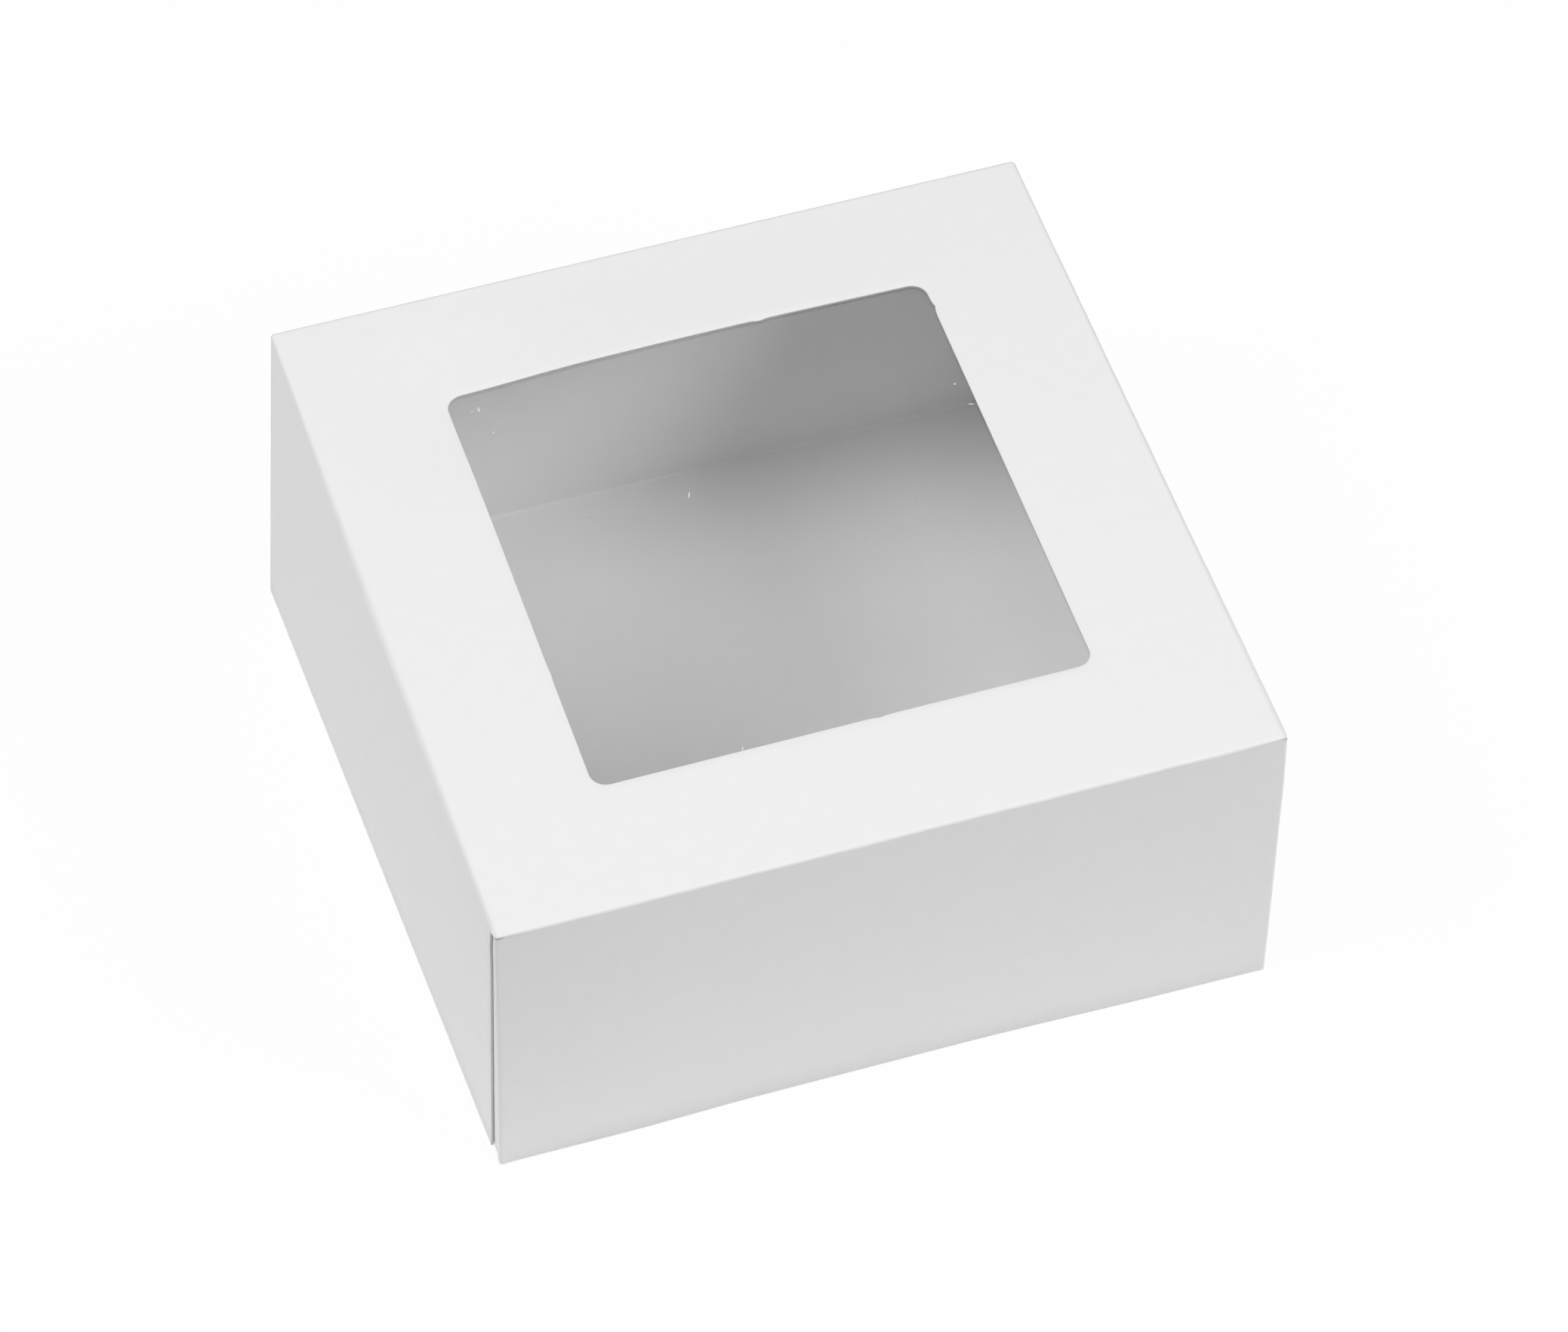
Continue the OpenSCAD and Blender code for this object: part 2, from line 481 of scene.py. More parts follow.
def lid_lift(point):
    """How far the lid stands above its flat place."""
    rise = RISE * hump(point.x, RISE_AT.x, seam_x) * hump(point.y, RISE_AT.y, seam_y)
    inside_x = smooth_step((seam_x - abs(point.x)) / STIFF_EDGE)
    inside_y = smooth_step((seam_y - abs(point.y)) / STIFF_EDGE)
    away = (point.xy - DIP_AT).length
    return rise - DIP * inside_x * inside_y * smooth_step(1 - away / DIP_REACH)


def lifted(point):
    """A point of the flat lid, moved to where the lid really lies."""
    return point + Vector((0, 0, lid_lift(point)))


print(f"The lid stands {lid_lift(Vector((*RISE_AT, 0))) / MM:.2f} mm high at its crown")

# %% Bridge the window to the seam
WINDOW_CUTS, WINDOW_ARC, RING_CUTS = 87, 8, 13


def ring(name, opening, outline, z, radius, rings):
    """A flat frame from a round-cornered opening to a square outline, each a middle and a size."""
    middle, inner = opening
    sheet = add_sheet(name, inner.x, inner.y, (*middle, z))
    bpy.ops.mesh.select_mode(type="VERT")
    bpy.ops.mesh.select_all(action="SELECT")
    bpy.ops.mesh.bevel(offset=radius, segments=WINDOW_ARC, affect="VERTICES")
    bpy.ops.mesh.select_all(action="SELECT")
    bpy.ops.mesh.delete(type="ONLY_FACE")
    pick_edges(lambda a, b: (a - b).length > 2 * radius)
    bpy.ops.mesh.subdivide(number_cuts=WINDOW_CUTS)
    bpy.ops.mesh.select_all(action="DESELECT")
    outer_middle, outer = (*outline[0], z), outline[1]
    bpy.ops.mesh.primitive_plane_add(size=1, location=outer_middle)
    bpy.ops.transform.resize(value=(outer.x, outer.y, 1), center_override=outer_middle)
    bpy.ops.mesh.delete(type="ONLY_FACE")
    pick_edges(lambda a, b: (a - b).length > outer.x / 2)
    bpy.ops.mesh.subdivide(number_cuts=WINDOW_CUTS + WINDOW_ARC)
    bpy.ops.mesh.select_all(action="SELECT")
    bpy.ops.mesh.bridge_edge_loops(number_cuts=rings, interpolation="LINEAR")
    return sheet


seam = (Vector((0, 0)), Vector((2 * seam_x, 2 * seam_y)))
lid_top = ring("lid_top", (window_mid, window_size), seam, lid_z, window_r, RING_CUTS)
thicken(lid_top, (0, 0, 1))
soften(lambda p: abs(p.x) < seam_x - margin and abs(p.y) < seam_y - margin)
print("Lid panel:", len(lid_top.data.polygons), "faces")

# %% [markdown]
# The window was held in its sheet by a few uncut nicks until it was pushed out. Each leaves a torn notch
# or tag on the cut edge, a millimetre or two long, and tells a die-cut hole from a drawn one. The window
# also sits a third of a millimetre to the left of the creases, since cutting and creasing never register
# quite.

# %% Torn nicks round the window
WINDOW_DRIFT = Vector((-0.3, -0.2, 0)) * MM
WINDOW_SPREAD = 0.3 * MM
DRIFT_REACH, DRIFT_LEFT = 20 * MM, 40 * MM
NICK_NEAR = 0.3 * MM
NICKS = [
    # x, y, way out of the window, depth, half length, all in millimetres
    (51.0, 46.2, (1, 0), 0.4, 1.3),
    (15.8, 52.9, (0, 1), -0.35, 1.2),
    (6.6, -50.9, (0, -1), 0.3, 1.2),
    (-51.0, -22.0, (-1, 0), -0.15, 1.2),
]


def drifted(point):
    """A point of the lid, moved with the window: most at its edge, and not at all at the creases."""
    away = max(abs(point.x) - window_size.x / 2, abs(point.y - window_mid.y) - window_size.y / 2)
    share = 1 - smooth_step(away / DRIFT_REACH)
    towards_front = (window_mid.y - point.y) / window_size.y
    at_back = smooth_step(0.5 - towards_front)
    on_left = smooth_step(-point.x / DRIFT_LEFT)
    left = WINDOW_DRIFT.x - 2 * WINDOW_SPREAD * towards_front * on_left
    return point + share * Vector((left, WINDOW_DRIFT.y * at_back, 0))


def torn(point):
    """A point of the window's cut edge, moved where a nick was torn."""
    moved = point.copy()
    for x, y, out, depth, half in NICKS:
        offset = point.xy - Vector((x, y)) * MM
        along, across = offset.x * out[Y] - offset.y * out[X], offset.dot(out)
        if abs(across) < NICK_NEAR and abs(along) < half * MM:
            moved += depth * MM * (1 - (along / (half * MM)) ** 2) * Vector((*out, 0))
    return moved


reshape(lid_top, torn)
reshape(lid_top, drifted)
reshape(lid_top, lifted)
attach(lid_top, "lid")
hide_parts("lid_panel")
print("Nicks torn:", len(NICKS))

# %% [markdown]
# ## Panels that hang from the lid
#
# The front flap, the two side flaps and the rear wall are the same thing four times: a margin of the lid,
# a quarter-round fold, and a panel that hangs straight down. One function makes it at the front, and a
# turn about the box's middle takes it to its side. The margin is the lid's own flat board, so its seam
# can't be seen.
#
# A crease is pressed into the flat sheet before folding. That leaves a small bead on the inside of the
# fold, and the bead catches light as a thin line. The side folds end in the lid's corners, which are
# closed by letting the fold shrink along a quarter circle.

# %% Beads and closed ends
BEAD = 0.3 * MM
INNER_FACE = 0.9 * board


def bead_push(out, up, radius, bead):
    """How far a bead pushes a point that lies this far out and up from the fold's centre."""
    distance = math.hypot(out, up)
    if min(out, up) <= -TINY or not TINY < distance < radius - INNER_FACE:
        return 0.0, 0.0
    push = bead * math.sin(2 * math.atan2(up, out))
    return push * out / distance, push * up / distance


def beaded(start_y):
    """A formula that raises the bead along the inside of a fold that starts here."""
    def formula(point):
        back, down = bead_push(start_y - point.y, point.z - fold_z, fold_r, BEAD)
        return point + Vector((0, back, -down))
    return formula


def rounded_ends(top, start_y):
    """A formula that closes the two ends of a fold with the lid's rounded corners."""
    def formula(point):
        past = abs(point.x) - top
        if past <= TINY or point.z < fold_z - TINY:
            return point.copy()
        share = math.sqrt(max(0.0, 1 - (past / fold_r) ** 2))
        out_y = point.y - start_y if point.y > start_y else share * (point.y - start_y)
        return Vector((point.x, start_y + out_y, fold_z + share * (point.z - fold_z)))
    return formula


print(f"Beads of {BEAD / MM:.1f} mm in folds of {fold_r / MM:.1f} mm")

# %% Fold a panel down from the lid
ROW_CUTS, COLUMN_CUTS = 11, 47
PANEL_LEAST = 5 * margin


def hang_panel(name, turn, reach, span, top, foot, foot_z, free, closed_ends=False):
    """A margin, a fold and a panel. Span, top and foot are half their lengths, from the lid down."""
    start_y = -reach + fold_r
    panel = add_sheet(name, 2 * span, margin, (0, start_y + margin / 2, lid_z))
    cut_across(X, (-top, top))
    if closed_ends:
        steps = [fold_r * math.sin(math.pi / 2 * k / FOLD_STEPS) for k in range(1, FOLD_STEPS)]
        cut_across(X, [side * (top + step) for side in (-1, 1) for step in steps])
    pick_edges(lying_on(Y, start_y))
    bpy.ops.mesh.spin(steps=FOLD_STEPS, angle=-math.pi / 2, center=(0, start_y, fold_z), axis=(1, 0, 0))
    pick_edges(lying_on(Z, fold_z, half_x=top))
    run_on((0, 0, -margin))
    run_on((0, 0, foot_z - fold_z + margin))
    bpy.ops.transform.resize(value=(foot / top, 1, 1), center_override=(0, -reach, foot_z))
    pick_edges(running_along(X, top))
    bpy.ops.mesh.subdivide(number_cuts=COLUMN_CUTS)
    pick_edges(running_along(Z, PANEL_LEAST))
    bpy.ops.mesh.subdivide(number_cuts=ROW_CUTS)
    if closed_ends:
        bpy.ops.object.mode_set(mode="OBJECT")
        reshape(panel, rounded_ends(top, start_y))
        bpy.ops.object.mode_set(mode="EDIT")
    thicken(panel, (0, -1, 0))
    reshape(panel, beaded(start_y))
    soften(free)
    place_by(panel, turn)
    return panel


print("Steps in a fold:", FOLD_STEPS)

# %% [markdown]
# ## Front flap
#
# The front flap is the face that the photograph shows best. It reaches from corner to corner of the box
# and spreads a little towards its foot. Its fold wanders slightly, as a hand-made fold does. The foot
# stands out at the corners, where the ears push, is drawn in towards the middle, and hangs lower on the
# right. Its top corners give way a little, because the fold is weakest where it ends. The ears go on from
# its two ends, so they will follow the same formula.

# %% Where the front fold lies
FRONT_GIVE, FRONT_EASE = 0.45 * MM, 0.2 * MM
GIVE_DEPTH, GIVE_FADE = 5 * MM, 4 * MM
GIVE_LOW, GIVE_HEIGHT = 60 * MM, 14 * MM
GIVE_FROM, GIVE_LENGTH = 72 * MM, 8 * MM
WAVES = ((9.0, 0.3), (17.0, 0.45), (41.0, 0.4))  # length in millimetres, and share


def wander(along, phase):
    """A slow, uneven sway along a fold, from about -1 to 1."""
    turns = ((2 * math.pi * along / (length * MM) + phase * length, size) for length, size in WAVES)
    return sum(size * math.sin(turn) for turn, size in turns)


def below_margin(point):
    """0 on the lid's flat margin, growing to 1 through the fold, and 1 on the panel below."""
    return smooth_step((lid_z - point.z) / fold_r)


def front_back(point):
    """How far the front fold is drawn back: a little, and more near the lid's corners."""
    at_front = smooth_step((lid_low.y + GIVE_DEPTH - point.y) / GIVE_FADE)
    at_fold = below_margin(point) * smooth_step((point.z - GIVE_LOW) / GIVE_HEIGHT)
    at_end = smooth_step((abs(point.x) - GIVE_FROM) / GIVE_LENGTH)
    return (FRONT_EASE + FRONT_GIVE * at_end) * at_front * at_fold


print(f"The front fold gives way by {(FRONT_EASE + FRONT_GIVE) / MM:.2f} mm at its ends")

# %% How the front flap hangs
FRONT_CORNER_OUT, FRONT_MIDDLE_IN = 0.35 * MM, 0.15 * MM
FRONT_RIGHT_OUT, RIGHT_OUT_FROM, RIGHT_OUT_RISE = 0.55 * MM, 0.2, 0.55
FRONT_LEFT_OUT, LEFT_OUT_AT, LEFT_OUT_HALF = 0.3 * MM, -0.66, 0.3
FRONT_SPREAD, FRONT_WIDER, SPREAD_REACH = 0.5 * MM, 0.55 * MM, 20 * MM
FRONT_DROOP = 0.5 * MM
FRONT_SWAY, FRONT_PHASE, FRONT_FADE = 0.08 * MM, 1.3, 14 * MM


def front_out(side, low):
    """How far out the front flap's ends lie, from the fold, where low is 0, to the foot, where it is 1."""
    return side * (FRONT_WIDER if side > 0 else FRONT_SPREAD * low)


def front_warp(point):
    """The front flap's own shape, for the flap and for the ears that go on from it."""
    in_fold = below_margin(point) * smooth_step(1 - (fold_z - point.z) / FRONT_FADE)
    low = bounded(1 - point.z / fold_z)
    side = bounded(point.x / lid_high.x, low=-1.0)
    bow = FRONT_CORNER_OUT * abs(side) ** 3 - FRONT_MIDDLE_IN * (1 - side ** 2)
    bow += FRONT_RIGHT_OUT * smooth_step((side - RIGHT_OUT_FROM) / RIGHT_OUT_RISE)
    bow += FRONT_LEFT_OUT * max(0.0, 1 - ((side - LEFT_OUT_AT) / LEFT_OUT_HALF) ** 2) ** 2
    sway = FRONT_SWAY * wander(point.x, FRONT_PHASE) * in_fold
    near = below_margin(point) * smooth_step(1 - (point.y - lid_low.y) / SPREAD_REACH)
    droop = FRONT_DROOP * low * (1 + side) / 2
    back = front_back(point) - sway - bow * smooth_step(low)
    return Vector((point.x + front_out(side, low) * near, point.y + back, point.z - droop))


print(f"The front flap droops by {FRONT_DROOP / MM:.1f} mm on the right")

# %% The front flap
flap_low, flap_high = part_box("front_flap")
front_flap = hang_panel(
    "front_flap_board", turn=0.0, reach=-lid_low.y, span=seam_x, top=seam_x, foot=seam_x,
    foot_z=flap_low.z, free=lambda p: p.z < flap_low.z + board / 2,
)
reshape(front_flap, front_warp)
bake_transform(front_flap)
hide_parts("front_flap")
print("Front flap:", len(front_flap.data.polygons), "faces")

# %% [markdown]
# ## Side flaps
#
# The side flaps hang free from their crease, so they rarely stand quite upright. The left one swings out
# towards its back foot. Their folds run the whole depth of the lid and close its corners with a small
# round. Their ends slope in to clear the ears, and at the front they are set back, which leaves a strip
# of each ear in sight.

# %% How a side flap leans
FRONT_LEAN = 0.75 * MM
FLARE = {"left": 4.3 * MM, "right": 1.4 * MM}
EDGE_OUT = {"left": (0.1, 0.35, -0.25), "right": (0.5, 0.2, 0.0)}  # mm at the front, middle and back
SIDE_SWAY, SIDE_PHASE, SIDE_FADE = 0.04 * MM, 2.1, 12 * MM
TOP_SETBACK, FOOT_SETBACK, SETBACK_FADE = 2.3 * MM, -0.5 * MM, 1.0 * MM
CORNER_NOTCH, NOTCH_WIDTH = 0.45 * MM, 0.3 * fold_r


def corner_notch(point):
    """How far the left front corner's lower rim is lifted, which leaves a small hole."""
    out_x = smooth_step((lid_low.x - point.x) / NOTCH_WIDTH + 1)
    out_y = smooth_step((lid_low.y + 2 * fold_r - point.y) / fold_r)
    at_rim = bounded((lid_z - point.z) / fold_r) if point.z > fold_z - TINY else 0.0
    return CORNER_NOTCH * out_x * out_y * at_rim


def edge_out(side, back):
    """How far out a side fold runs, eased between its front, middle and back."""
    half = int(back >= 0.5)
    start, end = EDGE_OUT[side][half:half + 2]
    return (start + (end - start) * smooth_step(2 * back - half)) * MM


def side_warp(side, sign, foot, foot_z):
    """A side flap's lean: a little at its front foot, and the whole flare at its back foot."""
    def formula(point):
        low = max(0.0, (fold_z - point.z) / (fold_z - foot_z))
        back = (point.y + foot) / (2 * foot)
        in_fold = below_margin(point) * smooth_step(1 - (fold_z - point.z) / SIDE_FADE)
        sway = SIDE_SWAY * wander(point.y, SIDE_PHASE + sign) * in_fold
        lean = edge_out(side, back) * below_margin(point) * (1 - low)
        lean += low * (FRONT_LEAN + (FLARE[side] - FRONT_LEAN) * back)
        hanging = smooth_step((fold_z - point.z) / SETBACK_FADE)
        near_front = smooth_step(-(point.y + foot / 2) / (foot / 2))
        setback = (TOP_SETBACK + (FOOT_SETBACK - TOP_SETBACK) * low) * hanging * near_front
        along = point.y + setback + front_back(point)
        return Vector((point.x + sign * (lean + sway), along, point.z + corner_notch(point)))
    return formula


print("Side flaps lean out by", [round(lean / MM, 1) for lean in FLARE.values()], "mm")

# %% The side flaps
for side, sign in SIDES:
    low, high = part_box(f"{side}_flap")
    foot = max(p.y for p in node_points(f"{side}_flap") if p.z < low.z + TINY)
    flap = hang_panel(
        f"{side}_flap_board", turn=sign * math.pi / 2, reach=lid_high.x, span=lid_high.y, top=high.y,
        foot=foot, foot_z=low.z, free=lambda p: p.z < fold_z - margin, closed_ends=True,
    )
    reshape(flap, side_warp(side, sign, foot, low.z))
    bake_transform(flap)
    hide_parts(f"{side}_flap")
    print(f"The {side} flap:", len(flap.data.polygons), "faces")

# %% [markdown]
# ## Rear wall
#
# The rear wall is the tray's, but its upper crease is the lid's hinge, so it is hung as the flaps are.
# Its ends stop short, because the corner tabs go on from there, and its foot meets the board that curves
# up from the floor.

# %% The rear wall
wall_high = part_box("rear_wall")[1]
floor_r = 2.2 * board
wall_half = wall_high.x - corner_r - margin

rear_wall = hang_panel(
    "rear_wall_board", turn=math.pi, reach=wall_high.y, span=seam_x, top=wall_half, foot=wall_half,
    foot_z=floor_r + margin, free=lambda p: False,
)
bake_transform(rear_wall)
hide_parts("rear_wall")
print("Rear wall:", len(rear_wall.data.polygons), "faces")

# %% [markdown]
# ## Ears and corner tabs
#
# Six small flaps turn a corner of the box: two ears at the ends of the front flap, and four tabs at the
# ends of the tray's front and rear walls. Each is a margin of its wall, an upright fold and a panel along
# the side. It is made at the front right corner and mirrored to where it belongs. The free corners are
# rounded, as a cutting rule is bent there so that the board doesn't catch.

# %% Fold a flap round a corner
CORNER_ROUND, CORNER_STEPS = 2.5 * MM, 6


def corner_flap(name, front, inner, side, root, panel, end, length, mirror, rows=(), columns=()):
    """A margin from inner, a fold at side, and a panel. Root, panel and end are pairs of heights."""
    turn_x, turn_y = side - corner_r, -front + corner_r
    middle = ((turn_x + inner) / 2, -front, sum(root) / 2)
    flap = add_sheet(name, turn_x - inner, root[1] - root[0], middle, turn=(math.pi / 2, 0, 0))
    cut_across(Z, [height for height in panel if root[0] < height < root[1]])
    pick_edges(lying_on(X, turn_x))
    bpy.ops.mesh.spin(steps=FOLD_STEPS, angle=-math.pi / 2, center=(turn_x, turn_y, 0), axis=(0, 0, 1))
    mid_z, half_z = sum(panel) / 2, (panel[1] - panel[0]) / 2
    on_side = lying_on(X, side)
    pick_edges(lambda a, b: on_side(a, b) and all(abs(p.z - mid_z) < half_z + TINY for p in (a, b)))
    run_on((0, margin, 0))
    end_y = -front + length
    run_on((0, end_y - turn_y - margin, 0))
    narrower = (end[1] - end[0]) / (panel[1] - panel[0])
    bpy.ops.transform.resize(value=(1, 1, narrower), center_override=(side, end_y, mid_z))
    bpy.ops.transform.translate(value=(0, 0, sum(end) / 2 - mid_z))
    bpy.ops.mesh.select_mode(type="VERT")
    bpy.ops.mesh.bevel(offset=CORNER_ROUND, segments=CORNER_STEPS, affect="VERTICES")
    cut_across(Z, rows)
    cut_across(Y, columns)
    thicken(flap, (1, 0, 0))
    soften(lambda p: p.y > turn_y + margin)
    place_by(flap, mirror=mirror)
    return flap


print(f"Corner flaps turn round {corner_r / MM:.2f} mm")

# %% [markdown]
# An ear is folded past the square to get behind the side flap. Its panel turns in over the first two
# millimetres and then lies close to the flap's inner face. Near its foot the flap leans out, and the ear
# goes straight back. Its lower edge runs level before it starts to rise. Its top corner is cut lower than
# the front flap's fold, to clear the side flap's fold as the two open, and only the strip in front of the
# ear's crease reaches up under the lid's corner.

# %% How an ear tucks in
ear_low, ear_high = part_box("right_ear")
ear_tip = [p.z for p in node_points("right_ear") if p.y > ear_high.y - TINY]
ear_fold_end = lid_low.y + corner_r
BEHIND_FLAP, TUCK_LENGTH = board + 0.07 * MM, 1.9 * MM
BEHIND_LAST = lid_high.x - BEHIND_FLAP - flap_high.x
LAST_REACH, LAST_DELAY = 14 * MM, 0.15
EAR_RISE, EAR_LENGTH, EAR_LEVEL = min(ear_tip) - ear_low.z, ear_high.y - ear_fold_end, 5 * MM
EAR_TOP_CUT, EAR_TOP_RISE, EAR_TOP_FADE = 0.55 * MM, 0.28 * MM, 4 * MM
CUT_FROM, CUT_FADE = 0.6 * corner_r, 0.5 * corner_r


def tucked(point):
    """An ear's way in behind the side flap, which is not upright itself."""
    side, sign = ("right", 1) if point.x > 0 else ("left", -1)
    along = max(0.0, point.y - ear_fold_end)
    low = bounded(1 - point.z / fold_z)
    near = BEHIND_FLAP + abs(front_out(sign, low)) - edge_out(side, back=0) * (1 - low) - FRONT_LEAN * low
    turned_in = near * smooth_step(along / TUCK_LENGTH)
    turned_in += BEHIND_LAST * smooth_step(along / LAST_REACH - LAST_DELAY)
    later = EAR_RISE * max(0.0, along - EAR_LEVEL) / (EAR_LENGTH - EAR_LEVEL)
    level = (EAR_RISE * along / EAR_LENGTH - later) * low ** 6
    past_corner = smooth_step((point.y - lid_low.y - CUT_FROM) / CUT_FADE)
    near_top = smooth_step(1 - (fold_z - point.z) / EAR_TOP_FADE)
    rise = (EAR_TOP_RISE * (1 - past_corner) - EAR_TOP_CUT * past_corner) * near_top
    return Vector((point.x - sign * turned_in, point.y, point.z - level + rise))


print(f"An ear's lower edge rises by {EAR_RISE / MM:.1f} mm")

# %% The two ears
EAR_GAP = 0.04 * MM
row_height = (fold_z - margin - flap_low.z) / (ROW_CUTS + 1)
EAR_ROWS = [flap_low.z + k * row_height for k in range(1, ROW_CUTS + 1)]
EAR_COLUMNS = [ear_fold_end + step * MM for step in (1.0, 1.5, 2.0, 3.0, 4.5, 6.5, 9.0, 12.0, 16.0)]

for side, sign in SIDES:
    ear = corner_flap(
        f"{side}_ear_board", front=-lid_low.y, inner=seam_x, side=lid_high.x,
        root=(ear_low.z, fold_z - EAR_GAP), panel=(ear_low.z, ear_high.z), end=(min(ear_tip), max(ear_tip)),
        length=ear_high.y - lid_low.y, mirror=(sign, 1, 1), rows=EAR_ROWS, columns=EAR_COLUMNS,
    )
    reshape(ear, front_warp)
    reshape(ear, tucked)
    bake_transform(ear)
    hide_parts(f"{side}_ear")
print(f"Ears: {(ear_high.y - lid_low.y) / MM:.1f} mm long")

# %% [markdown]
# The front flap rests against the tray's front wall and pushes its top edge back a little, which also
# makes room for the flap's fold when it opens. The front tabs go with the wall, so one formula serves
# them and the tray.

# %% The four corner tabs
FRONT_WALL_LEAN, LEAN_REACH = 0.5 * MM, 10 * MM
TAB_FOOT_GAP, TAB_TOP_GAP = 0.2 * MM, 0.3 * MM
front_low, front_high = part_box("front_wall")
WALLS = {
    # the wall's outer face, its top, and which way its tabs are mirrored
    "front": (-front_low.y, front_high.z, 1),
    "rear": (wall_high.y, wall_high.z, -1),
}


def pushed_back(point):
    """The front wall's lean: none at its foot, most at its top edge, and fading along the sides."""
    near = smooth_step(1 - (point.y - lid_low.y) / LEAN_REACH)
    return point + Vector((0, FRONT_WALL_LEAN * near * smooth_step(point.z / lid_z), 0))


for wall, (front, top_z, way) in WALLS.items():
    for side, sign in SIDES:
        node = f"{wall}_{side}_tab"
        low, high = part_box(node)
        tip_y = high.y if wall == "front" else low.y
        tip = [p.z for p in node_points(node) if abs(p.y - tip_y) < TINY]
        tab = corner_flap(
            f"{node}_board", front=front, inner=wall_half, side=wall_high.x,
            root=(floor_r + TAB_FOOT_GAP, top_z - TAB_TOP_GAP), panel=(low.z, high.z),
            end=(min(tip), max(tip)), length=front - abs(tip_y), mirror=(sign, way, 1),
        )
        reshape(tab, pushed_back)
        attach(tab, "tray")
        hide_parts(node)
print("Corner tabs:", len(WALLS) * len(SIDES))

# %% [markdown]
# ## The tray
#
# The floor and its walls are one sheet. The floor is a plane, each of its edges is folded up, and the
# walls run on from the folds. At the back only a narrow strip is folded up, where the rear wall begins. A
# bead like the one in the lid's folds runs along the inside of each crease.

# %% The tray's creases
FLOOR_BEAD = 0.24 * MM
side_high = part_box("right_wall")[1]
TRAY_EDGES = ((X, side_high.x), (X, -side_high.x), (Y, front_low.y), (Y, wall_high.y))


def floor_bead(point):
    """The bead along the inside of the tray's four creases."""
    moved = point.copy()
    for axis, edge in TRAY_EDGES:
        sign = 1 if edge > 0 else -1
        out = sign * (point[axis] - (edge - sign * floor_r))
        back, up = bead_push(out, floor_r - point.z, floor_r, FLOOR_BEAD)
        moved[axis] -= sign * back
        moved.z += up
    return moved


def fold_up(axis, edge):
    """Folds one edge of the floor up and runs its wall on from the fold."""
    sign = 1 if edge > 0 else -1
    start = edge - sign * floor_r
    on_edge = lying_on(axis, start)
    pick_edges(lambda a, b: on_edge(a, b) and abs(a.z) < TINY and abs(b.z) < TINY)
    centre = (start, 0, floor_r) if axis == X else (0, start, floor_r)
    turn_axis = (0, 1, 0) if axis == X else (1, 0, 0)
    turn = sign * math.pi / 2 if axis == X else -sign * math.pi / 2
    bpy.ops.mesh.spin(steps=FOLD_STEPS, angle=turn, center=centre, axis=turn_axis)
    if axis == Y:
        on_wall = lying_on(Y, edge, half_x=wall_half)
        pick_edges(lambda a, b: on_wall(a, b) and abs(a.z - floor_r) < TINY)
    run_on((0, 0, margin))
    if edge != wall_high.y:
        run_on((0, 0, side_high.z - floor_r - margin))


print("Creases round the floor:", len(TRAY_EDGES))

# %% Fold the tray up from its floor
floor_x, floor_front, floor_back = side_high.x - floor_r, front_low.y + floor_r, wall_high.y - floor_r
floor_mid = (0, (floor_back + floor_front) / 2, 0)

tray = add_sheet("tray_board", 2 * floor_x, floor_back - floor_front, floor_mid)
cut_across(X, (-wall_half, wall_half))
for axis, edge in TRAY_EDGES:
    fold_up(axis, edge)
thicken(tray, (0, 0, -1))
reshape(tray, floor_bead)
soften(lambda p: p.z > side_high.z - board)
reshape(tray, pushed_back)
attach(tray, "tray")
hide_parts("floor_panel", "front_wall", "left_wall", "right_wall")
print("Tray:", len(tray.data.polygons), "faces")

# %% [markdown]
# ## Clear film
#
# The window is glazed with thin clear film, glued under the lid. Film this thin doesn't bend light, so it
# needs no refraction: light passes straight through, apart from the share that its two faces mirror. A
# Mix Shader does that with the Fresnel share as its factor, and a fully metallic surface stands in for
# the mirror. A ray crosses one face from outside and one from inside. The first takes the share of both,
# because Fresnel at the second would count on refraction and mirror far too much.
#
# Handling leaves faint rub marks and a few short scratches. Those scatter light, so they raise the same
# factor and lose the metal.

# %% Scratches on the film
SCRATCHES = [
    # x, y, half length and half width in millimetres, the way it runs in degrees, and how much it hides
    (-45.0, 48.4, 0.9, 0.18, 85, 0.6),
    (-46.5, 48.3, 0.5, 0.16, 20, 0.35),
    (-42.4, 43.9, 0.5, 0.15, 30, 0.3),
    (-43.9, 41.6, 0.5, 0.15, 50, 0.3),
    (-11.9, 13.3, 1.0, 0.18, 63, 0.8),
    (48.2, 25.4, 0.3, 0.25, 0, 0.7),
    (49.6, 19.4, 0.7, 0.18, -16, 0.7),
    (-21.3, -50.0, 0.6, 0.15, 60, 0.6),
    (-32.4, 14.0, 0.3, 0.2, 0, 0.3),
    (18.0, -8.0, 0.6, 0.13, 150, 0.3),
    (30.2, -1.0, 0.3, 0.2, 0, 0.3),
]


def scratch(place, x, y, half, width, degrees, hides):
    """A short bright line on the film, as a mask from 0 to the share of the view that it hides."""
    moved = place.node("Mapping", {"Vector": place, "Location": (-x * MM, -y * MM, 0)})
    turned = moved.node("Mapping", {"Vector": moved, "Rotation": (0, 0, -math.radians(degrees))})
    split = turned.node("SeparateXYZ", {"Vector": turned})
    along = split / (half * MM)
    across = split.other("Y") / (width * MM)
    return hides * (1 - along * along - across * across).bounded()


print("Scratches on the film:", len(SCRATCHES))

# %% Film and glue finishes
FILM_IOR, FILM_TINT = 1.49, (0.96, 0.96, 0.96, 1)
HAZE, HAZE_DULLS = 0.012, 10


